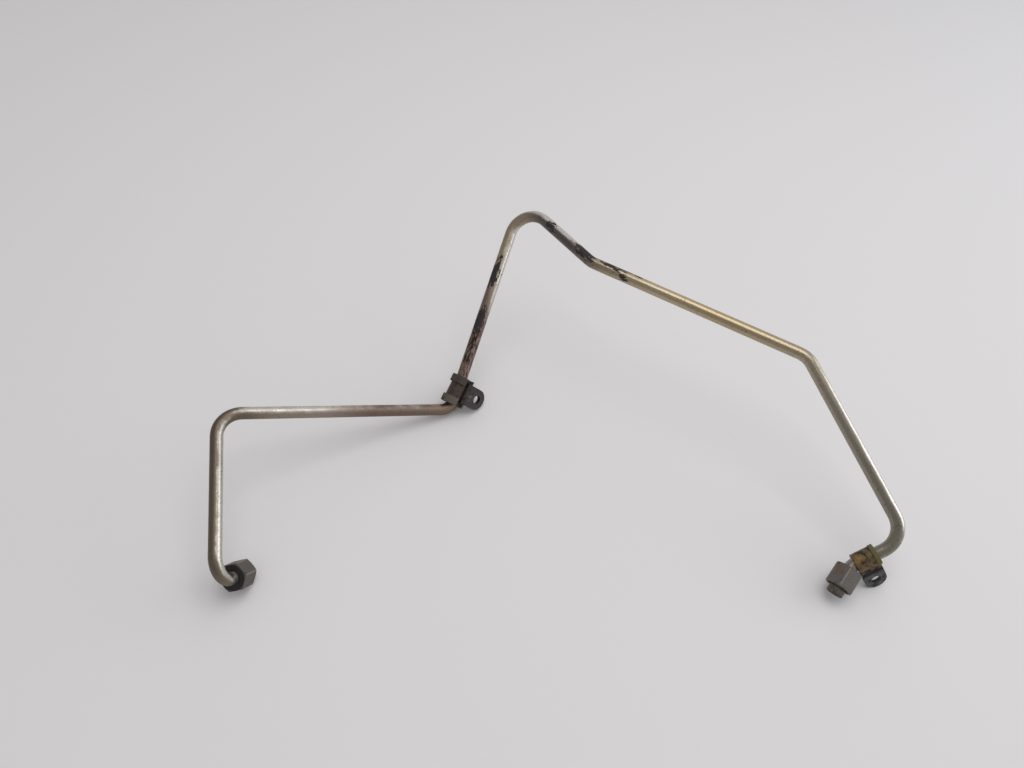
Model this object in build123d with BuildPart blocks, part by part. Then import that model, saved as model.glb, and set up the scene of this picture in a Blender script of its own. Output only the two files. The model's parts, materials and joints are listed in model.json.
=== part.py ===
"""Turbo oil line: one bent steel tube with a captive union nut and a brazed sealing nipple at
each end, and two lined P-clips along its run.

Millimetres, +Z up. The line lies on the floor as it comes to rest, on the corner of the engine
end nut, the ring of the mid clip and the tab of the end clip. The origin is on the floor, under
the middle of its bounding box.
"""
import os
from math import radians, tan

from build123d import *

os.makedirs("parts", exist_ok=True)

# Tube
tube_od = 8.0
tube_wall = 1.0
tube_r = tube_od / 2
oil_way_r = tube_r - tube_wall

# Route of the tube's centreline: its engine end, the corners of its bends, its turbo end
route = [
    Vector(-188.95, -111.8, 6.7),
    Vector(-194.5, -131.0, 29.7),
    Vector(-209.15, -29.5, 59.6),
    Vector(-67.75, 17.0, 4.2),
    Vector(-16.9, 136.9, 97.8),
    Vector(30.5, 80.45, 88.8),
    Vector(161.5, -2.0, 83.7),
    Vector(212.0, -101.6, 32.5),
    Vector(181.9, -110.8, 16.0),
    Vector(170.35, -124.4, 8.1),
]
bend_radii = [12.0, 16.0, 11.0, 16.0, 16.0, 16.0, 16.0, 9.0]

# Union nuts, M14 x 1.5 and 16 mm across flats
thread_major_r = 7.0
thread_depth = 0.81
thread_relief_depth = 0.2
thread_length = 6.0
thread_minor_r = thread_major_r - thread_depth
thread_relief_r = thread_major_r + thread_relief_depth
nut_wall = 0.8
nut_flat_r = thread_relief_r + nut_wall
nut_length = 13.5
nut_face_step = 0.4
nut_face_r = nut_flat_r - nut_face_step
nut_chamfer_slope = 0.58
collar_length = 3.0
collar_clearance = 0.1
engine_nut_turn = 34.0
turbo_nut_turn = 31.0
turbo_nut_slid_back = 5.3

# Sealing nipples, brazed over the tube's ends
nipple_wall = 1.0
nipple_r = tube_r + nipple_wall
nipple_length = 9.6
nipple_web = 1.0
nipple_mouth = 0.7
nipple_nose_chamfer = 0.6
nipple_nose_length = 4.3
shank_step = 0.2
shank_r = nipple_r - shank_step
heel_step = 0.1
heel_gap = 0.1

# P-clips, sizes that both share
strap_thickness = 1.2
leg_gap = 0.4
leg_root_fillet = 1.2
leg_clearance = 0.6
leg_relief = 0.2
tab_hole_r = 3.3
liner_slit = 1.2
clip_seat_gap = 0.05

# Mid clip, which leans on the end of a bend, and whose tab is cranked over
mid_clip_from_corner = 14.2
mid_clip_lean = 8.0
mid_clip_turn = 158.0
mid_strap_width = 15.0
mid_liner_base = 1.55
mid_lip_thickness = 1.5
mid_lip_cover = 2.45
mid_side_wall = 2.85
mid_leg = 0.1
mid_knee_radius = 3.0
mid_crank = 90.0
mid_reach = 9.2

# End clip, whose tab is cranked down and whose liner has a lip on the far side from the nut only
end_clip_from_corner = 8.5
end_clip_turn = -52.0
end_strap_width = 13.5
end_liner_base = 0.7
end_lip_thickness = 0.4
end_lip_cover = 1.9
end_side_wall = 0.6
end_leg = 2.3
end_knee_radius = 2.0
end_crank = -20.0
end_reach = 7.4

# Half angle of a hexagon's side, and how near a corner must be to the ring to count as a root
cos_30 = 3**0.5 / 2
root_tolerance = 0.01


def across(point, direction, turn):
    """Plane across a run of tube, its x axis turned from the horizontal by an angle."""
    flat = Vector(0, 0, 1).cross(direction)
    return Plane(point, x_dir=flat.rotate(Axis((0, 0, 0), direction), turn), z_dir=direction)


def side_of(frame):
    """Plane through a frame's axis for a turned profile: x is the radius, y is along the axis."""
    return Plane(frame.origin, x_dir=frame.x_dir, z_dir=-frame.y_dir)


def turned(frame, *points, mode=Mode.ADD):
    """Turn a closed profile of (radius, height) points about a frame's axis."""
    with BuildSketch(side_of(frame)) as profile:
        with BuildLine():
            Polyline(*points, close=True)
        make_face()
    revolve(profile.sketch, axis=Axis(frame.origin, frame.z_dir), mode=mode)


def union_nut(frame, turn):
    """Hex union nut. Its frame is at the middle of its tube-side face and points to its mouth."""
    corner_r = nut_flat_r / cos_30
    chamfer = (corner_r - nut_face_r) * nut_chamfer_slope
    bore_r = tube_r + collar_clearance
    relief_top = nut_length - thread_length
    relief_bottom = collar_length + thread_relief_r - bore_r
    with BuildPart() as nut:
        with BuildSketch(frame):
            RegularPolygon(nut_flat_r, 6, major_radius=False, rotation=turn)
        extrude(amount=nut_length)
        turned(
            frame,
            (0, 0),
            (nut_face_r, 0),
            (corner_r, chamfer),
            (corner_r, nut_length - chamfer),
            (nut_face_r, nut_length),
            (0, nut_length),
            mode=Mode.INTERSECT,
        )
        # Collar, seat cone, thread relief, thread and its lead-in
        turned(
            frame,
            (0, 0),
            (bore_r, 0),
            (bore_r, collar_length),
            (thread_relief_r, relief_bottom),
            (thread_relief_r, relief_top - thread_relief_r + thread_minor_r),
            (thread_minor_r, relief_top),
            (thread_minor_r, nut_length - thread_major_r + thread_minor_r),
            (thread_major_r, nut_length),
            (0, nut_length),
            mode=Mode.SUBTRACT,
        )
    return nut.part


def sealing_nipple(frame):
    """Nipple brazed over a tube end. Its frame is at the tube's end and points outwards."""
    heel = nipple_web - nipple_length
    heel_r = tube_r + heel_step
    with BuildPart() as nipple:
        turned(
            frame,
            (tube_r, heel),
            (heel_r, heel),
            (shank_r, heel + shank_r - heel_r),
            (shank_r, nipple_web - nipple_nose_length),
            (nipple_r, nipple_web - nipple_nose_length),
            (nipple_r, nipple_web - nipple_nose_chamfer),
            (nipple_r - nipple_nose_chamfer, nipple_web),
            (oil_way_r + nipple_mouth, nipple_web),
            (oil_way_r, nipple_web - nipple_mouth),
            (oil_way_r, 0),
            (tube_r, 0),
        )
    return nipple.part


def strap_outside(liner_base):
    """Outer radius of a strap's ring."""
    return tube_r + liner_base + 2 * clip_seat_gap + strap_thickness


def knee_from(liner_base, leg, knee_radius, crank):
    """Where a strap's legs bend: past the ring, the fillet at their root and a straight piece."""
    ring_and_leg = strap_outside(liner_base) + leg_root_fillet + leg
    return ring_and_leg + knee_radius * tan(radians(abs(crank) / 2))


def clip_strap(frame, width, liner_base, knee, knee_radius, crank, reach):
    """Strap of a clip: a ring round the liner, and two legs that lie together as the tab.

    Its frame is at the middle of the ring, across the tube, with x along the legs' roots.
    """
    ring_out_r = strap_outside(liner_base)
    ring_in_r = ring_out_r - strap_thickness
    stack = 2 * strap_thickness + leg_gap
    tab_r = width / 2
    bend = Location((knee, 0, 0), (0, 0, crank))
    tab_end = bend * Location((reach + tab_r, 0, 0))
    hole = hole_plane(frame, knee, crank, reach)
    with BuildPart() as strap:
        with BuildSketch(frame) as section:
            with BuildLine() as legs:
                FilletPolyline((0, 0), bend.position, tab_end.position, radius=knee_radius)
            Circle(ring_out_r)
            trace(legs.line, line_width=stack)
            roots = [
                corner
                for corner in section.vertices()
                if abs(Vector(corner).length - ring_out_r) < root_tolerance
            ]
            fillet(roots, leg_root_fillet)
            Circle(ring_in_r, mode=Mode.SUBTRACT)
            trace(legs.line, line_width=leg_gap, mode=Mode.SUBTRACT)
        extrude(amount=width / 2, both=True)
        # Round end of the tab, then the screw hole
        with BuildSketch(hole):
            Rectangle(2 * tab_r, 4 * tab_r, align=(Align.MIN, Align.CENTER))
            Circle(tab_r, mode=Mode.SUBTRACT)
        extrude(amount=stack, both=True, mode=Mode.SUBTRACT)
        with BuildSketch(hole):
            Circle(tab_hole_r)
        extrude(amount=stack, both=True, mode=Mode.SUBTRACT)
    return strap.part


def clip_liner(frame, width, liner_base, lip_thickness, lip_cover, side_wall, both_lips):
    """Liner of a clip: a sleeve on the tube that folds over one edge of the strap or over both."""
    base_r = tube_r + clip_seat_gap + liner_base
    lip_in_r = base_r + strap_thickness + 2 * clip_seat_gap
    lip_out_r = lip_in_r + lip_thickness
    groove = width / 2 + clip_seat_gap
    half = groove + side_wall
    cover = groove - lip_cover
    leg_room = 2 * strap_thickness + leg_gap + 2 * leg_root_fillet + leg_clearance
    far_side = [
        (0, -half),
        (lip_out_r, -half),
        (lip_out_r, -cover),
        (lip_in_r, -cover),
        (lip_in_r, -groove),
        (base_r, -groove),
    ]
    if both_lips:
        near_side = [(radius, -height) for radius, height in reversed(far_side)]
    else:
        near_side = [(base_r, width / 2), (0, width / 2)]
    with BuildPart() as liner:
        turned(frame, *far_side, *near_side)
        add(tube_room.part, mode=Mode.SUBTRACT)
        # Slit of the sleeve, and the wider gap in its lips where the legs leave
        with BuildSketch(frame):
            Rectangle(2 * lip_out_r, liner_slit, align=(Align.MIN, Align.CENTER))
        extrude(amount=2 * half, both=True, mode=Mode.SUBTRACT)
        with BuildSketch(frame):
            Rectangle(2 * lip_out_r, leg_room, align=(Align.MIN, Align.CENTER))
            Circle(base_r - leg_relief, mode=Mode.SUBTRACT)
        extrude(amount=2 * half, both=True, mode=Mode.SUBTRACT)
    return liner.part


def hole_plane(frame, knee, crank, reach):
    """Plane in the middle of a clip's tab at its hole: x along the tab, z through the hole."""
    bend = Plane(frame.location * Location((knee, 0, 0), (0, 0, crank)))
    return Plane(bend.origin + bend.x_dir * reach, x_dir=bend.x_dir, z_dir=bend.y_dir)


# Places along the route, whose lowest corner is the foot of the arch
arch_foot = min(route, key=lambda corner: corner.Z)
last_corner = route[-2]
engine_out = (route[0] - route[1]).normalized()
turbo_out = (route[-1] - route[-2]).normalized()
nut_back_to_tube_end = collar_length + heel_gap + nipple_length - nipple_web
engine_end = Plane(route[0], x_dir=Vector(0, 0, 1).cross(engine_out), z_dir=engine_out)
turbo_end = Plane(route[-1], x_dir=Vector(0, 0, 1).cross(turbo_out), z_dir=turbo_out)
run_to_arch = (arch_foot - route[route.index(arch_foot) - 1]).normalized()
arch_run = (route[route.index(arch_foot) + 1] - arch_foot).normalized()
mid_lean = Axis((0, 0, 0), arch_run.cross(run_to_arch))
mid_clip_middle = arch_foot + arch_run * mid_clip_from_corner
mid_clip = across(mid_clip_middle, arch_run.rotate(mid_lean, mid_clip_lean), mid_clip_turn)
end_run = (last_corner - route[route.index(last_corner) - 1]).normalized()
end_clip = across(last_corner - end_run * end_clip_from_corner, end_run, end_clip_turn)
mid_knee = knee_from(mid_liner_base, mid_leg, mid_knee_radius, mid_crank)
end_knee = knee_from(end_liner_base, end_leg, end_knee_radius, end_crank)

# Tube, bent from one length
with BuildPart() as tube:
    with BuildLine() as centreline:
        FilletPolyline(*route, radius=bend_radii)
    with BuildSketch(Plane(route[0], z_dir=-engine_out)):
        Circle(tube_r)
        Circle(oil_way_r, mode=Mode.SUBTRACT)
    sweep(path=centreline.line)
tube.part.label = "tube"

# Room that the clips' liners leave for the tube
with BuildPart() as tube_room:
    with BuildSketch(Plane(route[0], z_dir=-engine_out)):
        Circle(tube_r + clip_seat_gap)
    sweep(path=centreline.line)

# Nipples at both ends of the tube
engine_end_nipple = sealing_nipple(engine_end)
engine_end_nipple.label = "engine_end_nipple"
turbo_end_nipple = sealing_nipple(turbo_end)
turbo_end_nipple.label = "turbo_end_nipple"

# Union nuts: the engine end one is pushed against its nipple, the other is slid back from it
engine_end_nut = union_nut(engine_end.offset(-nut_back_to_tube_end), engine_nut_turn)
engine_end_nut.label = "engine_end_nut"
turbo_end_nut = union_nut(
    turbo_end.offset(-nut_back_to_tube_end - turbo_nut_slid_back), turbo_nut_turn
)
turbo_end_nut.label = "turbo_end_nut"

# Mid clip
mid_clip_strap = clip_strap(
    mid_clip, mid_strap_width, mid_liner_base, mid_knee, mid_knee_radius, mid_crank, mid_reach
)
mid_clip_strap.label = "mid_clip_strap"
mid_clip_liner = clip_liner(
    mid_clip,
    mid_strap_width,
    mid_liner_base,
    mid_lip_thickness,
    mid_lip_cover,
    mid_side_wall,
    both_lips=True,
)
mid_clip_liner.label = "mid_clip_liner"

# End clip
end_clip_strap = clip_strap(
    end_clip, end_strap_width, end_liner_base, end_knee, end_knee_radius, end_crank, end_reach
)
end_clip_strap.label = "end_clip_strap"
end_clip_liner = clip_liner(
    end_clip,
    end_strap_width,
    end_liner_base,
    end_lip_thickness,
    end_lip_cover,
    end_side_wall,
    both_lips=False,
)
end_clip_liner.label = "end_clip_liner"

pieces = [
    tube.part,
    engine_end_nipple,
    turbo_end_nipple,
    engine_end_nut,
    turbo_end_nut,
    mid_clip_strap,
    mid_clip_liner,
    end_clip_strap,
    end_clip_liner,
]
for piece in pieces:
    export_step(piece, f"parts/{piece.label}.step")
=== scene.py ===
"""Looks and stage of the turbo oil line: a bent steel tube with its union nuts and lined clips.

Every shape is a CAD node of the frame. Each operator gives one group of them its finish, and the
last one sets the floor, lamps and camera.
"""
import json
from math import radians

import bmesh
import bpy
from bpy.props import FloatProperty, FloatVectorProperty, PointerProperty, StringProperty
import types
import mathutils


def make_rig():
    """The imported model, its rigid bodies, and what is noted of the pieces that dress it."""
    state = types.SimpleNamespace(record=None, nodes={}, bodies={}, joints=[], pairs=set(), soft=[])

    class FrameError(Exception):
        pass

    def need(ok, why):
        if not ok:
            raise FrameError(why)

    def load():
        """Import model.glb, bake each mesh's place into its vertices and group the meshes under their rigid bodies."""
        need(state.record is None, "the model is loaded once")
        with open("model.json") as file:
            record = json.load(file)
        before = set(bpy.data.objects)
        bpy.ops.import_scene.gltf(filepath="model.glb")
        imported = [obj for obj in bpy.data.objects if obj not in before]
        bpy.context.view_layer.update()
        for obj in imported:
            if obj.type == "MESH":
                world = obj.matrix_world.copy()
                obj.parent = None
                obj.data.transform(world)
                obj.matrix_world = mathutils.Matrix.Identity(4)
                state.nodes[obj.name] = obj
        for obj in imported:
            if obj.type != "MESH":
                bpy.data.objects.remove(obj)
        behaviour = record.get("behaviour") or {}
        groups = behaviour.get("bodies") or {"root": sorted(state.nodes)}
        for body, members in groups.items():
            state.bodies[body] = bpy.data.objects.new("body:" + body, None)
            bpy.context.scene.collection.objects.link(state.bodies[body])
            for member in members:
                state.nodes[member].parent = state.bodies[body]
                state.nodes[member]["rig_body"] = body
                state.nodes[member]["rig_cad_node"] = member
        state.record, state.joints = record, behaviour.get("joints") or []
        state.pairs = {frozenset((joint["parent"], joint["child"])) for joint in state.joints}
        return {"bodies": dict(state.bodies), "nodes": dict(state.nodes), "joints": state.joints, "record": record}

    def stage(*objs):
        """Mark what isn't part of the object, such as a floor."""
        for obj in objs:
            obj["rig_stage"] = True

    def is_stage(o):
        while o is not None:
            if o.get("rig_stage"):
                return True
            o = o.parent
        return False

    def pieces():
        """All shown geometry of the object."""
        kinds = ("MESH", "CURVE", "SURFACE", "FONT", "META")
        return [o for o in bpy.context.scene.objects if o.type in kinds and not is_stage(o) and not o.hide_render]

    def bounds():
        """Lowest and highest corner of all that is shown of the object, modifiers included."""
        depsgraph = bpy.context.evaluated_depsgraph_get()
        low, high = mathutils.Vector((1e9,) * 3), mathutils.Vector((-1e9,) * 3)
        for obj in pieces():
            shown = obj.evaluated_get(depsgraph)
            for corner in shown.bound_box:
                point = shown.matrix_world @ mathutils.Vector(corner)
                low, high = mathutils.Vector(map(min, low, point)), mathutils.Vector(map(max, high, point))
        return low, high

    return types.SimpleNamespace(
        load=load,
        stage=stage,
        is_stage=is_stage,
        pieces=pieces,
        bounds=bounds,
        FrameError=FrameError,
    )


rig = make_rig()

bl_info = {
    "name": "Turbo oil line",
    "version": (1, 0, 0),
    "blender": (4, 5, 0),
    "location": "3D View > Sidebar > Oil line",
    "description": "Finishes, floor, lamps and camera of a bent steel oil line",
    "category": "Object",
}

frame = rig.load()
cad_box = [list(corner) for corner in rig.bounds()]

MM = 0.001

# Axes, in millimetres: a place on the axis and the way along it. A nut's is the middle of its
# tube-side face, and a clip's is the middle of its ring.
ENGINE_NUT = (-191.08, -119.17, 15.53), (0.1821, 0.6301, -0.7548)
TURBO_NUT = (180.41, -112.55, 14.98), (-0.5919, -0.6970, -0.4049)
MID_CLIP = (-63.25, 27.62, 12.49), (0.4300, 0.7506, 0.5018)
END_CLIP = (189.10, -108.60, 19.95), (-0.8470, -0.2589, -0.4643)

# Noise seldom leaves this span, so what is drawn from it is spread over the span alone
NOISE_LOW = 0.3
NOISE_HIGH = 0.7


def colour(hex_value):
    """Linear colour with alpha from an sRGB hex value."""
    channels = [int(hex_value[i : i + 2], 16) / 255 for i in (1, 3, 5)]
    linear = [c / 12.92 if c <= 0.04045 else ((c + 0.055) / 1.055) ** 2.4 for c in channels]
    return (*linear, 1.0)


def add(tree, kind, inputs=None, **settings):
    """Add a node to a tree, with its settings, and its inputs set or linked."""
    node = tree.nodes.new(kind)
    for name, value in settings.items():
        setattr(node, name, value)
    for name, value in (inputs or {}).items():
        if isinstance(value, bpy.types.NodeSocket):
            tree.links.new(value, node.inputs[name])
        else:
            node.inputs[name].default_value = value
    return node


def start(name):
    """A new material, its empty tree, and its object coordinates."""
    material = bpy.data.materials.new(name)
    material.use_nodes = True
    material.node_tree.nodes.clear()
    place = add(material.node_tree, "ShaderNodeTexCoord").outputs["Object"]
    return material, material.node_tree, place


def finish(tree, inputs):
    """End a material's tree in a Principled shader."""
    shader = add(tree, "ShaderNodeBsdfPrincipled", inputs)
    add(tree, "ShaderNodeOutputMaterial", {"Surface": shader.outputs["BSDF"]})


def dress(material, *nodes):
    """Give CAD nodes a material."""
    for name in nodes:
        slots = frame["nodes"][name].data.materials
        slots.clear()
        slots.append(material)


def shared_group(name, build):
    """A node group by its name, built the first time that it is asked for."""
    return bpy.data.node_groups.get(name) or build()


def patch_group():
    """Node group for a patch with a ragged edge: full in its middle, gone at its reach.

    Stretch draws the patch out along the way given: 0 is round and 0.75 is four times as long as
    it is wide. Size is that of the grain that eats into it, and Edge is how soft its outline is.
    """
    group = bpy.data.node_groups.new("Ragged patch", "ShaderNodeTree")
    for name, kind in (
        ("Place", "NodeSocketVector"),
        ("Middle", "NodeSocketVector"),
        ("Way", "NodeSocketVector"),
        ("Stretch", "NodeSocketFloat"),
        ("Reach", "NodeSocketFloat"),
        ("Size", "NodeSocketFloat"),
        ("Cover", "NodeSocketFloat"),
        ("Edge", "NodeSocketFloat"),
    ):
        group.interface.new_socket(name, in_out="INPUT", socket_type=kind)
    group.interface.new_socket("Mask", in_out="OUTPUT", socket_type="NodeSocketFloat")
    given = add(group, "NodeGroupInput").outputs
    arm = add(
        group,
        "ShaderNodeVectorMath",
        {0: given["Place"], 1: given["Middle"]},
        operation="SUBTRACT",
    ).outputs["Vector"]
    along = add(
        group, "ShaderNodeVectorMath", {0: arm, 1: given["Way"]}, operation="DOT_PRODUCT"
    ).outputs["Value"]
    shorter = add(
        group, "ShaderNodeMath", {0: along, 1: given["Stretch"]}, operation="MULTIPLY"
    ).outputs["Value"]
    pull = add(
        group, "ShaderNodeVectorMath", {0: given["Way"], "Scale": shorter}, operation="SCALE"
    ).outputs["Vector"]
    drawn = add(
        group, "ShaderNodeVectorMath", {0: arm, 1: pull}, operation="SUBTRACT"
    ).outputs["Vector"]
    away = add(group, "ShaderNodeVectorMath", {0: drawn}, operation="LENGTH")
    share = add(
        group,
        "ShaderNodeMapRange",
        {"Value": away.outputs["Value"], "From Max": given["Reach"], "To Min": 1.0, "To Max": 0.0},
        interpolation_type="SMOOTHSTEP",
    )
    per_metre = add(group, "ShaderNodeMath", {0: 1.0, 1: given["Size"]}, operation="DIVIDE")
    grain = add(
        group,
        "ShaderNodeTexNoise",
        {
            "Vector": drawn,
            "Scale": per_metre.outputs["Value"],
            "Detail": 4.0,
            "Roughness": 0.6,
        },
    )
    eaten = add(
        group,
        "ShaderNodeMapRange",
        {"Value": grain.outputs["Fac"], "From Min": NOISE_LOW, "From Max": NOISE_HIGH},
    )
    wanted = add(
        group,
        "ShaderNodeMath",
        {0: share.outputs["Result"], 1: given["Cover"]},
        operation="MULTIPLY",
    )
    left = add(
        group,
        "ShaderNodeMath",
        {0: wanted.outputs["Value"], 1: eaten.outputs["Result"]},
        operation="SUBTRACT",
    )
    mask = add(
        group,
        "ShaderNodeMapRange",
        {"Value": left.outputs["Value"], "From Min": 0.0, "From Max": given["Edge"]},
        interpolation_type="SMOOTHSTEP",
    )
    add(group, "NodeGroupOutput", {"Mask": mask.outputs["Result"]})
    return group


def patch(tree, place, middle, reach, cover, edge=0.05, size=4.0, way=(0, 0, 0), stretch=0.0):
    """Mask of a ragged patch. Its middle, reach and grain size are in millimetres."""
    return add(
        tree,
        "ShaderNodeGroup",
        {
            "Place": place,
            "Middle": [c * MM for c in middle],
            "Way": way,
            "Stretch": stretch,
            "Reach": reach * MM,
            "Size": size * MM,
            "Cover": cover,
            "Edge": edge,
        },
        node_tree=shared_group("Ragged patch", patch_group),
    ).outputs["Mask"]


def axis_group():
    """Node group for places round an axis: how far along it and how far from it."""
    group = bpy.data.node_groups.new("Round an axis", "ShaderNodeTree")
    for name in ("Place", "Foot", "Way"):
        group.interface.new_socket(name, in_out="INPUT", socket_type="NodeSocketVector")
    for name in ("Along", "Radius"):
        group.interface.new_socket(name, in_out="OUTPUT", socket_type="NodeSocketFloat")
    given = add(group, "NodeGroupInput").outputs
    arm = add(
        group,
        "ShaderNodeVectorMath",
        {0: given["Place"], 1: given["Foot"]},
        operation="SUBTRACT",
    ).outputs["Vector"]
    along = add(group, "ShaderNodeVectorMath", {0: arm, 1: given["Way"]}, operation="DOT_PRODUCT")
    on_axis = add(
        group, "ShaderNodeVectorMath", {0: arm, 1: given["Way"]}, operation="PROJECT"
    ).outputs["Vector"]
    radius = add(group, "ShaderNodeVectorMath", {0: arm, 1: on_axis}, operation="DISTANCE")
    add(
        group,
        "NodeGroupOutput",
        {"Along": along.outputs["Value"], "Radius": radius.outputs["Value"]},
    )
    return group


def aged_group():
    """Node group for an aged surface: a clean colour under cloudy dirt and small rubbed spots.

    Size is how wide the clouds are, Dirty is the share that they cover, and Rubbed is how strong
    the spots are. Grain is the fine noise, for bump and roughness.
    """
    group = bpy.data.node_groups.new("Aged surface", "ShaderNodeTree")
    for name, kind in (
        ("Place", "NodeSocketVector"),
        ("Clean", "NodeSocketColor"),
        ("Dirt", "NodeSocketColor"),
        ("Rub", "NodeSocketColor"),
        ("Size", "NodeSocketFloat"),
        ("Dirty", "NodeSocketFloat"),
        ("Rubbed", "NodeSocketFloat"),
    ):
        group.interface.new_socket(name, in_out="INPUT", socket_type=kind)
    group.interface.new_socket("Color", in_out="OUTPUT", socket_type="NodeSocketColor")
    group.interface.new_socket("Grain", in_out="OUTPUT", socket_type="NodeSocketFloat")
    given = add(group, "NodeGroupInput").outputs
    wide = add(group, "ShaderNodeMath", {0: 1.0, 1: given["Size"]}, operation="DIVIDE")
    fine = add(group, "ShaderNodeMath", {0: 6.0, 1: given["Size"]}, operation="DIVIDE")
    cloud = add(
        group,
        "ShaderNodeTexNoise",
        {
            "Vector": given["Place"],
            "Scale": wide.outputs["Value"],
            "Detail": 4.0,
            "Roughness": 0.65,
        },
    )
    grain = add(
        group,
        "ShaderNodeTexNoise",
        {
            "Vector": given["Place"],
            "Scale": fine.outputs["Value"],
            "Detail": 3.0,
            "Roughness": 0.6,
        },
    )
    # Dirt starts where the clouds pass a bar, and is full a little above it
    clean_bar = 0.72
    blend = 0.14
    bar = add(group, "ShaderNodeMath", {0: clean_bar, 1: given["Dirty"]}, operation="SUBTRACT")
    full = add(group, "ShaderNodeMath", {0: bar.outputs["Value"], 1: blend}, operation="ADD")
    dirt = add(
        group,
        "ShaderNodeMapRange",
        {
            "Value": cloud.outputs["Fac"],
            "From Min": bar.outputs["Value"],
            "From Max": full.outputs["Value"],
        },
        interpolation_type="SMOOTHSTEP",
    )
    spots = add(
        group,
        "ShaderNodeMapRange",
        {
            "Value": grain.outputs["Fac"],
            "From Min": 0.56,
            "From Max": 0.68,
            "To Max": given["Rubbed"],
        },
        interpolation_type="SMOOTHSTEP",
    )
    dirtied = add(
        group,
        "ShaderNodeMix",
        {0: dirt.outputs["Result"], 6: given["Clean"], 7: given["Dirt"]},
        data_type="RGBA",
    )
    rubbed = add(
        group,
        "ShaderNodeMix",
        {0: spots.outputs["Result"], 6: dirtied.outputs[2], 7: given["Rub"]},
        data_type="RGBA",
    )
    add(group, "NodeGroupOutput", {"Color": rubbed.outputs[2], "Grain": grain.outputs["Fac"]})
    return group


class TubeFinish(bpy.types.PropertyGroup):
    """Colours and sheen of the tube."""

    bright: FloatVectorProperty(
        name="Bright metal",
        description="Colour of the plated steel where it is clean",
        subtype="COLOR",
        size=4,
        min=0,
        max=1,
        default=colour("#d2cdc6"),
    )
    scale: FloatVectorProperty(
        name="Scale",
        description="Colour of the burnt flakes on the arch",
        subtype="COLOR",
        size=4,
        min=0,
        max=1,
        default=colour("#2a2024"),
    )
    haze: FloatProperty(
        name="Haze",
        description="How much of the film's colour shows on the cleanest metal",
        subtype="FACTOR",
        min=0,
        max=1,
        default=0.2,
    )
    roughness: FloatProperty(
        name="Roughness",
        description="Roughness of the plated steel where it is clean",
        subtype="FACTOR",
        min=0,
        max=1,
        default=0.16,
    )


class FittingFinish(bpy.types.PropertyGroup):
    """Colours of the union nuts and nipples."""

    engine_steel: FloatVectorProperty(
        name="Engine nut",
        description="Colour of the flats of the nut at the engine end",
        subtype="COLOR",
        size=4,
        min=0,
        max=1,
        default=colour("#5d5751"),
    )
    turbo_steel: FloatVectorProperty(
        name="Turbo nut",
        description="Colour of the flats of the nut at the turbo end",
        subtype="COLOR",
        size=4,
        min=0,
        max=1,
        default=colour("#6c6764"),
    )
    nipple: FloatVectorProperty(
        name="Nipple",
        description="Colour of the nipples where they are clean",
        subtype="COLOR",
        size=4,
        min=0,
        max=1,
        default=colour("#625b52"),
    )
    # Also the colour of the painted highlight along the nuts' corners
    worn_and_highlight: FloatVectorProperty(
        name="Worn edges",
        description="Colour of the steel where corners have rubbed bright",
        subtype="COLOR",
        size=4,
        min=0,
        max=1,
        default=colour("#a39b90"),
    )
    # Also the colour of the painted shade on the nuts' tube-side faces and under the nipples
    grime_and_shade: FloatVectorProperty(
        name="Grime",
        description="Colour of the oil and dirt on the nuts",
        subtype="COLOR",
        size=4,
        min=0,
        max=1,
        default=colour("#14100f"),
    )


class ClipFinish(bpy.types.PropertyGroup):
    """Colours of the lined clips."""

    mid_strap: FloatVectorProperty(
        name="Mid strap",
        description="Colour of the mid clip's steel band",
        subtype="COLOR",
        size=4,
        min=0,
        max=1,
        default=colour("#4a3f3a"),
    )
    mid_tab: FloatVectorProperty(
        name="Mid tab",
        description="Colour of the mid clip's tab",
        subtype="COLOR",
        size=4,
        min=0,
        max=1,
        default=colour("#42393b"),
    )
    end_tab: FloatVectorProperty(
        name="End tab",
        description="Colour of the end clip's tab",
        subtype="COLOR",
        size=4,
        min=0,
        max=1,
        default=colour("#565a5c"),
    )
    strap_rub: FloatVectorProperty(
        name="Rubbed strap",
        description="Colour of the straps where they have rubbed bright",
        subtype="COLOR",
        size=4,
        min=0,
        max=1,
        default=colour("#8d8072"),
    )
    dust: FloatVectorProperty(
        name="Dust",
        description="Colour of the dust on the rubber",
        subtype="COLOR",
        size=4,
        min=0,
        max=1,
        default=colour("#857a6c"),
    )
    mid_lip: FloatVectorProperty(
        name="Mid upper lip",
        description="Colour of the mid clip's upper lip",
        subtype="COLOR",
        size=4,
        min=0,
        max=1,
        default=colour("#453d39"),
    )
    mid_liner: FloatVectorProperty(
        name="Mid liner",
        description="Colour of the mid clip's rubber",
        subtype="COLOR",
        size=4,
        min=0,
        max=1,
        default=colour("#5e564e"),
    )
    end_strap: FloatVectorProperty(
        name="End strap",
        description="Colour of the end clip's steel band",
        subtype="COLOR",
        size=4,
        min=0,
        max=1,
        default=colour("#6d5b3d"),
    )
    end_liner: FloatVectorProperty(
        name="End liner",
        description="Colour of the end clip's rubber",
        subtype="COLOR",
        size=4,
        min=0,
        max=1,
        default=colour("#66603f"),
    )


class StageSetup(bpy.types.PropertyGroup):
    """Floor, lamps and camera."""

    floor: FloatVectorProperty(
        name="Floor",
        description="Colour of the floor and of the background past its edge",
        subtype="COLOR",
        size=4,
        min=0,
        max=1,
        default=colour("#e6e4e4"),
    )
    lens: FloatProperty(
        name="Lens",
        description="Focal length of the camera in millimetres",
        unit="CAMERA",
        min=10,
        max=200,
        default=27.07,
    )
    folder: StringProperty(
        name="Size file",
        description="Where the sizes of the CAD model and of the finished model are written",
        subtype="FILE_PATH",
        default="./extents.json",
    )


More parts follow.
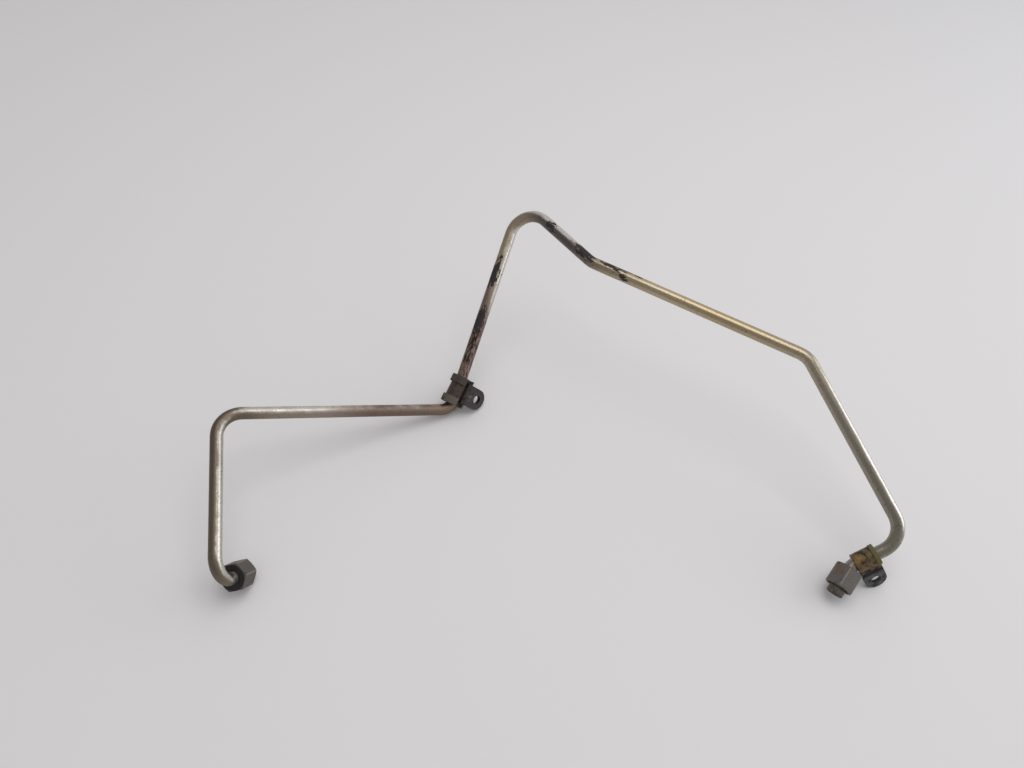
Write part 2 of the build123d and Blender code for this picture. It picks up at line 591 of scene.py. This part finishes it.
class OILLINE_OT_tube(bpy.types.Operator):
    """Give the tube its worn plating, its tarnish, its burnt flakes, and painted shade on its lower left side and
    where it goes into the engine end nut
    """

    bl_idname = "oilline.tube"
    bl_label = "Tube"

    def execute(self, context):
        look = context.scene.oilline_tube
        # Zinc-plated steel tube, drawn and bent cold: a smooth metal that shows the window as a
        # clear bright line. Heat and oil have laid a straw to brown film over most of it.
        material, tree, place = start("Plated steel tube, tarnished")
        across = add(tree, "ShaderNodeSeparateXYZ", {0: place})
        half_span = 211.25
        along = add(
            tree,
            "ShaderNodeMapRange",
            {
                "Value": across.outputs["X"],
                "From Min": -half_span * MM,
                "From Max": half_span * MM,
            },
        )
        # Film by its place along the part in millimetres: its colour, and how far round it reaches
        film_look = add(tree, "ShaderNodeValToRGB", {"Fac": along.outputs["Result"]})
        stops = (
            (-209, "#6f6456", 0.74),
            (-194, "#766b5d", 0.70),
            (-180, "#948979", 0.62),
            (-150, "#9d9287", 0.62),
            (-120, "#7d6a60", 0.80),
            (-90, "#7a6c63", 0.75),
            (-66, "#857163", 0.80),
            (-54, "#8b7871", 1.00),
            (-42, "#82736a", 0.70),
            (-34, "#a89a83", 0.42),
            (-16, "#a0937f", 0.40),
            (-4, "#6f6763", 0.30),
            (16, "#645e5e", 0.42),
            (38, "#a0927b", 0.75),
            (70, "#b4a68c", 0.95),
            (110, "#b09f80", 1.00),
            (155, "#aa9d86", 1.00),
            (175, "#989083", 0.60),
            (207, "#8a8478", 0.52),
        )
        ramp = film_look.color_ramp
        while len(ramp.elements) < len(stops):
            ramp.elements.new(0.5)
        for element, (spot, tint, cover) in zip(ramp.elements, stops):
            element.position = (spot / half_span + 1) / 2
            element.color = (*colour(tint)[:3], cover)
        # Cloudy film, 9 mm across, and mottling, 1.2 mm across
        cloud = add(
            tree,
            "ShaderNodeTexNoise",
            {"Vector": place, "Scale": 1 / (9 * MM), "Detail": 4.0, "Roughness": 0.65},
        )
        mottle = add(
            tree,
            "ShaderNodeTexNoise",
            {"Vector": place, "Scale": 1 / (1.2 * MM), "Detail": 4.0, "Roughness": 0.65},
        )
        # The film reaches furthest round the left and lower side of the tube; that darker side is partly real film and
        # partly painted shade
        film_and_shade_side = (-0.84, -0.42, -0.34)
        side_weight = 1.2
        cloud_weight = 0.5
        film_starts = 1.05
        film_full = 1.3
        facing = add(tree, "ShaderNodeNewGeometry")
        lean = add(
            tree,
            "ShaderNodeVectorMath",
            {0: facing.outputs["Normal"], 1: film_and_shade_side},
            operation="DOT_PRODUCT",
        )
        side = add(
            tree,
            "ShaderNodeMapRange",
            {"Value": lean.outputs["Value"], "From Min": -1.0, "To Max": side_weight},
        )
        clouded = add(
            tree,
            "ShaderNodeMath",
            {0: cloud.outputs["Fac"], 1: cloud_weight, 2: side.outputs["Result"]},
            operation="MULTIPLY_ADD",
        )
        reached = add(
            tree,
            "ShaderNodeMath",
            {0: clouded.outputs["Value"], 1: film_look.outputs["Alpha"]},
            operation="ADD",
        )
        film = add(
            tree,
            "ShaderNodeMapRange",
            {
                "Value": reached.outputs["Value"],
                "From Min": film_starts,
                "From Max": film_full,
                "To Min": look.haze,
            },
            interpolation_type="SMOOTHSTEP",
        ).outputs["Result"]
        speck = add(
            tree,
            "ShaderNodeMapRange",
            {"Value": mottle.outputs["Fac"], "From Min": 0.55, "From Max": 0.68, "To Max": 0.55},
            interpolation_type="SMOOTHSTEP",
        ).outputs["Result"]
        # Burnt flakes up the leg, over the arch and along the far run, each group with its middle,
        # its reach across the tube, its cover, the way of its run and how far it is drawn out
        leg = (0.29, 0.70, 0.66)
        slope = (0.64, -0.76, -0.12)
        run = (0.85, -0.53, -0.03)
        flakes = None
        for middle, reach, cover, way, stretch in (
            ((-36.5, 93.0, 67.0), 7.5, 1.00, leg, 0.65),
            ((-47.5, 66.0, 45.0), 7.5, 1.15, leg, 0.60),
            ((4.0, 110.0, 96.0), 6.0, 0.80, slope, 0.50),
            ((27.0, 86.0, 93.0), 9.5, 1.05, slope, 0.50),
            ((45.0, 73.0, 92.0), 6.0, 0.85, run, 0.75),
            ((60.0, 66.0, 91.0), 4.5, 0.90, run, 0.80),
            ((51.0, 64.0, 89.5), 4.0, 0.95, run, 0.40),
        ):
            found = patch(tree, place, middle, reach, cover, size=1.6, way=way, stretch=stretch)
            if flakes:
                found = add(tree, "ShaderNodeMath", {0: flakes, 1: found}, operation="MAXIMUM")
                found = found.outputs["Value"]
            flakes = found
        # Brown streaks above the mid clip, and painted shade on the tube where it goes into the engine end nut
        streaks = patch(
            tree, place, (-53, 50, 33), 13, 0.75, edge=0.3, size=1.2, way=leg, stretch=0.75
        )
        nut_face_shade = patch(tree, place, (-190.8, -118.2, 14.3), 12, 1.5, edge=1.0)
        # Layers on the bright metal: film, brown specks, streaks, burnt flakes and the painted shade by the nut
        surface = look.bright
        for share, tint in (
            (film, film_look.outputs["Color"]),
            (speck, colour("#4b3a2e")),
            (streaks, colour("#3a2c27")),
            (flakes, look.scale),
            (nut_face_shade, colour("#1b1614")),
        ):
            surface = add(
                tree, "ShaderNodeMix", {0: share, 6: surface, 7: tint}, data_type="RGBA"
            ).outputs[2]
        # The burnt flakes and the painted shade by the nut are dull and hardly metallic
        crust_and_shade = add(tree, "ShaderNodeMath", {0: flakes, 1: nut_face_shade}, operation="MAXIMUM")
        metallic = add(
            tree,
            "ShaderNodeMapRange",
            {"Value": crust_and_shade.outputs["Value"], "To Min": 1.0, "To Max": 0.1},
        )
        # The film is dull left of the arch and smooth right of it
        dull = add(
            tree,
            "ShaderNodeMapRange",
            {
                "Value": across.outputs["X"],
                "From Min": -60 * MM,
                "From Max": 40 * MM,
                "To Min": look.roughness + 0.24,
                "To Max": look.roughness + 0.06,
            },
        )
        smooth = add(
            tree,
            "ShaderNodeMapRange",
            {"Value": film, "To Min": look.roughness, "To Max": dull.outputs["Result"]},
        )
        uneven = add(
            tree,
            "ShaderNodeMath",
            {0: mottle.outputs["Fac"], 1: 0.12, 2: smooth.outputs["Result"]},
            operation="MULTIPLY_ADD",
        )
        roughness = add(
            tree,
            "ShaderNodeMix",
            {0: crust_and_shade.outputs["Value"], 2: uneven.outputs["Value"], 3: 0.7},
        )
        height = add(
            tree, "ShaderNodeMath", {0: flakes, 1: mottle.outputs["Fac"]}, operation="ADD"
        )
        bump = add(
            tree,
            "ShaderNodeBump",
            {"Height": height.outputs["Value"], "Strength": 0.12, "Distance": 0.1 * MM},
        )
        finish(
            tree,
            {
                "Base Color": surface,
                "Metallic": metallic.outputs["Result"],
                "Roughness": roughness.outputs[0],
                "Normal": bump.outputs["Normal"],
            },
        )
        dress(material, "tube")
        return {"FINISHED"}


class OILLINE_OT_nuts(bpy.types.Operator):
    """Give the union nuts their stained steel, worn corners with a painted highlight, and oil soot with painted shade
    on the tube-side face
    """

    bl_idname = "oilline.nuts"
    bl_label = "Union nuts"

    def execute(self, context):
        look = context.scene.oilline_fittings
        axis = shared_group("Round an axis", axis_group)
        aged = shared_group("Aged surface", aged_group)
        # Forged steel nuts: oxidised to a dull grey-brown that hardly reflects, rubbed brighter along the corners,
        # with the face that the tube comes out of painted black, partly oil soot and partly painted shade
        for node, line, tint, stain, stain_place, nut_face_shade, rub in (
            (
                "engine_end_nut",
                ENGINE_NUT,
                look.engine_steel,
                "#5d534b",
                (-184.0, -112.3, 14.0),
                1.0,
                0.2,
            ),
            (
                "turbo_end_nut",
                TURBO_NUT,
                look.turbo_steel,
                "#7b5645",
                (171.0, -114.5, 20.5),
                0.6,
                0.55,
            ),
        ):
            foot, way = line
            material, tree, place = start("Forged steel, " + node.replace("_", " "))
            round_axis = add(
                tree,
                "ShaderNodeGroup",
                {"Place": place, "Foot": [c * MM for c in foot], "Way": way},
                node_tree=axis,
            ).outputs
            skin = add(
                tree,
                "ShaderNodeGroup",
                {
                    "Place": place,
                    "Clean": tint,
                    "Dirt": look.grime_and_shade,
                    "Rub": look.worn_and_highlight,
                    "Size": 4 * MM,
                    "Dirty": 0.16,
                    "Rubbed": rub,
                },
                node_tree=aged,
            ).outputs
            stained = patch(tree, place, stain_place, 9, 1.3, edge=1.3)
            # Corners of the hexagon, past 8.8 mm from its axis, broken up by the grain: rubbed bright, and lightened
            # as a painted highlight along the edges
            far_out = add(
                tree,
                "ShaderNodeMapRange",
                {
                    "Value": round_axis["Radius"],
                    "From Min": 8.8 * MM,
                    "From Max": 9.2 * MM,
                },
            )
            rubbed = add(
                tree,
                "ShaderNodeMath",
                {0: far_out.outputs["Result"], 1: skin["Grain"]},
                operation="MULTIPLY",
            ).outputs["Value"]
            # Painted shade with some oil soot on the tube-side face, thinner towards its rim
            near_face = add(
                tree,
                "ShaderNodeMapRange",
                {
                    "Value": round_axis["Along"],
                    "From Min": 0.1 * MM,
                    "From Max": 0.5 * MM,
                    "To Min": nut_face_shade,
                    "To Max": 0.0,
                },
            )
            inner_shade = add(
                tree,
                "ShaderNodeMapRange",
                {
                    "Value": round_axis["Radius"],
                    "From Min": 7.6 * MM,
                    "From Max": 9.2 * MM,
                    "To Min": 1.0,
                    "To Max": 0.6,
                },
            )
            shaded_face = add(
                tree,
                "ShaderNodeMath",
                {0: near_face.outputs["Result"], 1: inner_shade.outputs["Result"]},
                operation="MULTIPLY",
            ).outputs["Value"]
            # Layers on the aged skin: the stain, the rubbed corners with their painted highlight, and the painted
            # shade with soot
            surface = skin["Color"]
            for share, over in (
                (stained, colour(stain)),
                (rubbed, look.worn_and_highlight),
                (shaded_face, look.grime_and_shade),
            ):
                surface = add(
                    tree, "ShaderNodeMix", {0: share, 6: surface, 7: over}, data_type="RGBA"
                ).outputs[2]
            metallic = add(
                tree, "ShaderNodeMapRange", {"Value": shaded_face, "To Min": 0.65, "To Max": 0.0}
            )
            roughness = add(
                tree,
                "ShaderNodeMapRange",
                {
                    "Value": skin["Grain"],
                    "From Min": NOISE_LOW,
                    "From Max": NOISE_HIGH,
                    "To Min": 0.42,
                    "To Max": 0.6,
                },
            )
            bump = add(
                tree,
                "ShaderNodeBump",
                {"Height": skin["Grain"], "Strength": 0.35, "Distance": 0.12 * MM},
            )
            finish(
                tree,
                {
                    "Base Color": surface,
                    "Metallic": metallic.outputs["Result"],
                    "Roughness": roughness.outputs["Result"],
                    "Normal": bump.outputs["Normal"],
                },
            )
            dress(material, node)
        return {"FINISHED"}


class OILLINE_OT_nipples(bpy.types.Operator):
    """Give the sealing nipples their stained steel and painted shade underneath"""

    bl_idname = "oilline.nipples"
    bl_label = "Sealing nipples"

    def execute(self, context):
        look = context.scene.oilline_fittings
        # Plain machined steel: a soft metal sheen in the clean rings, stained brown by old oil,
        # and black underneath, partly dried oil and partly painted shade
        material, tree, place = start("Machined steel, oil-stained")
        skin = add(
            tree,
            "ShaderNodeGroup",
            {
                "Place": place,
                "Clean": look.nipple,
                "Dirt": colour("#3a2f29"),
                "Rub": look.worn_and_highlight,
                "Size": 4 * MM,
                "Dirty": 0.22,
                "Rubbed": 0.5,
            },
            node_tree=shared_group("Aged surface", aged_group),
        ).outputs
        # Black on the side that faces down: dried oil and painted shade
        facing = add(tree, "ShaderNodeNewGeometry")
        down = add(
            tree,
            "ShaderNodeVectorMath",
            {0: facing.outputs["Normal"], 1: (0.2, -0.35, -0.9)},
            operation="DOT_PRODUCT",
        )
        under = add(
            tree,
            "ShaderNodeMapRange",
            {"Value": down.outputs["Value"], "From Min": -0.1, "From Max": 0.45},
            interpolation_type="SMOOTHSTEP",
        )
        grimed_and_shaded = add(
            tree,
            "ShaderNodeMix",
            {0: under.outputs["Result"], 6: skin["Color"], 7: look.grime_and_shade},
            data_type="RGBA",
        )
        metallic = add(
            tree,
            "ShaderNodeMapRange",
            {"Value": under.outputs["Result"], "To Min": 0.8, "To Max": 0.15},
        )
        bump = add(
            tree,
            "ShaderNodeBump",
            {"Height": skin["Grain"], "Strength": 0.3, "Distance": 0.1 * MM},
        )
        finish(
            tree,
            {
                "Base Color": grimed_and_shaded.outputs[2],
                "Metallic": metallic.outputs["Result"],
                "Roughness": 0.45,
                "Normal": bump.outputs["Normal"],
            },
        )
        dress(material, "engine_end_nipple", "turbo_end_nipple")
        return {"FINISHED"}


class OILLINE_OT_straps(bpy.types.Operator):
    """Give the clips' steel bands their age, a painted highlight patch and painted shade in the crease"""

    bl_idname = "oilline.straps"
    bl_label = "Clip straps"

    def execute(self, context):
        look = context.scene.oilline_clips
        axis = shared_group("Round an axis", axis_group)
        aged = shared_group("Aged surface", aged_group)
        # Plated steel band gone dull: little sheen is left, the ring and the tab have aged apart,
        # and painted black shade fills the crease where the legs leave the ring. The mid band has one paler
        # patch, a painted highlight on the bulge of its leg, and the end band one golden patch, a painted highlight on
        # its ring.
        for node, ring, tab, dirt, line, crease, dirty, painted_highlight_tint, painted_highlight_place in (
            (
                "mid_clip_strap",
                look.mid_strap,
                look.mid_tab,
                "#1e1816",
                MID_CLIP,
                (-57.9, 22.7, 15.2),
                0.2,
                "#6a6058",
                (-53.6, 18.6, 15.4),
            ),
            (
                "end_clip_strap",
                look.end_strap,
                look.end_tab,
                "#2f2722",
                END_CLIP,
                (194.32, -113.35, 13.07),
                0.26,
                "#8d6c3a",
                (183.0, -110.4, 23.5),
            ),
        ):
            ring_place, way = line
            material, tree, place = start("Plated band, " + node.replace("_", " "))
            from_tube = add(
                tree,
                "ShaderNodeGroup",
                {"Place": place, "Foot": [c * MM for c in ring_place], "Way": way},
                node_tree=axis,
            ).outputs["Radius"]
            from_crease = add(
                tree,
                "ShaderNodeGroup",
                {"Place": place, "Foot": [c * MM for c in crease], "Way": way},
                node_tree=axis,
            ).outputs["Radius"]
            on_tab = add(
                tree,
                "ShaderNodeMapRange",
                {"Value": from_tube, "From Min": 7.5 * MM, "From Max": 10 * MM},
                interpolation_type="SMOOTHSTEP",
            )
            tint = add(
                tree,
                "ShaderNodeMix",
                {0: on_tab.outputs["Result"], 6: ring, 7: tab},
                data_type="RGBA",
            )
            skin = add(
                tree,
                "ShaderNodeGroup",
                {
                    "Place": place,
                    "Clean": tint.outputs[2],
                    "Dirt": colour(dirt),
                    "Rub": look.strap_rub,
                    "Size": 3.5 * MM,
                    "Dirty": dirty,
                    "Rubbed": 0.35,
                },
                node_tree=aged,
            ).outputs
            # Painted shade: near-black in the crease where the legs leave the ring
            crease_shade = add(
                tree,
                "ShaderNodeMapRange",
                {
                    "Value": from_crease,
                    "From Min": 1.2 * MM,
                    "From Max": 2.4 * MM,
                    "To Min": 0.95,
                    "To Max": 0.0,
                },
                interpolation_type="SMOOTHSTEP",
            ).outputs["Result"]
            # A painted highlight: paler on the bulge of the mid band's leg, golden on the end band's ring
            spot = patch(tree, place, painted_highlight_place, 6, 1.2, edge=0.8, size=2.0)
            surface = skin["Color"]
            for share, over in ((spot, colour(painted_highlight_tint)), (crease_shade, colour("#161211"))):
                surface = add(
                    tree, "ShaderNodeMix", {0: share, 6: surface, 7: over}, data_type="RGBA"
                ).outputs[2]
            roughness = add(
                tree,
                "ShaderNodeMapRange",
                {
                    "Value": skin["Grain"],
                    "From Min": NOISE_LOW,
                    "From Max": NOISE_HIGH,
                    "To Min": 0.42,
                    "To Max": 0.62,
                },
            )
            bump = add(
                tree,
                "ShaderNodeBump",
                {"Height": skin["Grain"], "Strength": 0.35, "Distance": 0.12 * MM},
            )
            finish(
                tree,
                {
                    "Base Color": surface,
                    "Metallic": 0.55,
                    "Roughness": roughness.outputs["Result"],
                    "Normal": bump.outputs["Normal"],
                },
            )
            dress(material, node)
        return {"FINISHED"}


class OILLINE_OT_liners(bpy.types.Operator):
    """Give the clips' liners their dusty rubber"""

    bl_idname = "oilline.liners"
    bl_label = "Clip liners"

    def execute(self, context):
        look = context.scene.oilline_clips
        axis = shared_group("Round an axis", axis_group)
        aged = shared_group("Aged surface", aged_group)
        # Old rubber: quite matt, greyed by dust, with darker oily clouds; the mid clip's upper
        # lip is darker than its lower one
        for node, low, high, dirt, line in (
            ("mid_clip_liner", look.mid_liner, look.mid_lip, "#2b2421", MID_CLIP),
            ("end_clip_liner", look.end_liner, look.end_liner, "#4a4634", END_CLIP),
        ):
            middle, way = line
            material, tree, place = start("Rubber, " + node.replace("_", " "))
            along = add(
                tree,
                "ShaderNodeGroup",
                {"Place": place, "Foot": [c * MM for c in middle], "Way": way},
                node_tree=axis,
            ).outputs["Along"]
            upper = add(
                tree,
                "ShaderNodeMapRange",
                {"Value": along, "From Min": -1 * MM, "From Max": 1 * MM},
            )
            tint = add(
                tree,
                "ShaderNodeMix",
                {0: upper.outputs["Result"], 6: low, 7: high},
                data_type="RGBA",
            )
            skin = add(
                tree,
                "ShaderNodeGroup",
                {
                    "Place": place,
                    "Clean": tint.outputs[2],
                    "Dirt": colour(dirt),
                    "Rub": look.dust,
                    "Size": 6 * MM,
                    "Dirty": 0.16,
                    "Rubbed": 0.3,
                },
                node_tree=aged,
            ).outputs
            bump = add(
                tree,
                "ShaderNodeBump",
                {"Height": skin["Grain"], "Strength": 0.4, "Distance": 0.15 * MM},
            )
            finish(
                tree,
                {
                    "Base Color": skin["Color"],
                    "Roughness": 0.75,
                    "Specular IOR Level": 0.3,
                    "Normal": bump.outputs["Normal"],
                },
            )
            dress(material, node)
        return {"FINISHED"}


class OILLINE_OT_stage(bpy.types.Operator):
    """Set the floor, the lamps and the camera"""

    bl_idname = "oilline.stage"
    bl_label = "Stage"

    def execute(self, context):
        setup = context.scene.oilline_stage
        # Matt white laminate: pale, with no gloss
        material, tree, _ = start("White laminate floor")
        finish(tree, {"Base Color": setup.floor, "Roughness": 0.9})
        mesh = bpy.data.meshes.new("floor")
        shape = bmesh.new()
        floor_reach = 3.0
        bmesh.ops.create_grid(shape, x_segments=1, y_segments=1, size=floor_reach)
        shape.to_mesh(mesh)
        shape.free()
        mesh.materials.append(material)
        floor = bpy.data.objects.new("floor", mesh)
        context.scene.collection.objects.link(floor)
        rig.stage(floor)

        world = bpy.data.worlds.new("Pale room")
        world.use_nodes = True
        tree = world.node_tree
        tree.nodes.clear()
        path = add(tree, "ShaderNodeLightPath")
        # The room is bright on its window side, at the right, and dim at the left
        window_side = (0.88, 0.42, 0.22)
        way = add(tree, "ShaderNodeTexCoord").outputs["Generated"]
        towards = add(
            tree, "ShaderNodeVectorMath", {0: way, 1: window_side}, operation="DOT_PRODUCT"
        )
        glow = add(
            tree,
            "ShaderNodeMapRange",
            {
                "Value": towards.outputs["Value"],
                "From Min": -0.2,
                "From Max": 0.8,
                "To Min": 0.50,
                "To Max": 1.0,
            },
            interpolation_type="SMOOTHSTEP",
        )
        light = add(
            tree,
            "ShaderNodeBackground",
            {"Color": colour("#e8e8ea"), "Strength": glow.outputs["Result"]},
        )
        seen = add(tree, "ShaderNodeBackground", {"Color": setup.floor, "Strength": 0.9})
        either = add(
            tree,
            "ShaderNodeMixShader",
            {0: path.outputs["Is Camera Ray"], 1: light.outputs[0], 2: seen.outputs[0]},
        )
        add(tree, "ShaderNodeOutputWorld", {"Surface": either.outputs[0]})
        context.scene.world = world

        # Place in metres, size in metres and power in watts
        for name, place, size, power, tint in (
            ("Window", (1.3, 0.1, 0.45), 1.0, 4.8, "#eef3fb"),
            ("Ceiling lamp", (0.15, 0.1, 1.2), 0.8, 3.6, "#f9f6f1"),
        ):
            lamp = bpy.data.lights.new(name, "AREA")
            lamp.size = size
            lamp.energy = power
            lamp.color = colour(tint)[:3]
            holder = bpy.data.objects.new(name, lamp)
            context.scene.collection.objects.link(holder)
            holder.location = place
            holder.rotation_euler = (-holder.location).to_track_quat("-Z", "Y").to_euler()

        eye = bpy.data.cameras.new("Camera")
        eye.lens = setup.lens
        eye.clip_start = 0.01
        camera = bpy.data.objects.new("Camera", eye)
        context.scene.collection.objects.link(camera)
        # The camera looks down on the line, placed by the tube's bends in the photograph
        camera.location = (-26.83 * MM, -323.15 * MM, 444.32 * MM)
        camera.rotation_euler = (radians(39.605), radians(-0.323), radians(-0.096))
        context.scene.camera = camera
        context.scene.view_settings.view_transform = "Standard"
        return {"FINISHED"}


class OILLINE_PT_panel(bpy.types.Panel):
    """Steps that finish the oil line"""

    bl_idname = "OILLINE_PT_panel"
    bl_label = "Oil line"
    bl_space_type = "VIEW_3D"
    bl_region_type = "UI"
    bl_category = "Oil line"

    def draw(self, context):
        for step in STEPS:
            self.layout.operator(step.bl_idname)


STEPS = (
    OILLINE_OT_tube,
    OILLINE_OT_nuts,
    OILLINE_OT_nipples,
    OILLINE_OT_straps,
    OILLINE_OT_liners,
    OILLINE_OT_stage,
)
GROUPS = {
    "oilline_tube": TubeFinish,
    "oilline_fittings": FittingFinish,
    "oilline_clips": ClipFinish,
    "oilline_stage": StageSetup,
}


def register():
    for kind in (*GROUPS.values(), *STEPS, OILLINE_PT_panel):
        bpy.utils.register_class(kind)
    for name, kind in GROUPS.items():
        setattr(bpy.types.Scene, name, PointerProperty(type=kind))


def unregister():
    for name in GROUPS:
        delattr(bpy.types.Scene, name)
    for kind in reversed((*GROUPS.values(), *STEPS, OILLINE_PT_panel)):
        bpy.utils.unregister_class(kind)


def main():
    register()
    bpy.ops.oilline.tube()
    bpy.ops.oilline.nuts()
    bpy.ops.oilline.nipples()
    bpy.ops.oilline.straps()
    bpy.ops.oilline.liners()
    bpy.ops.oilline.stage()
    with open(bpy.context.scene.oilline_stage.folder, "w") as sizes:
        json.dump({"cad": cad_box, "visual": [list(corner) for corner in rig.bounds()]}, sizes)


if __name__ == "__main__":
    main()
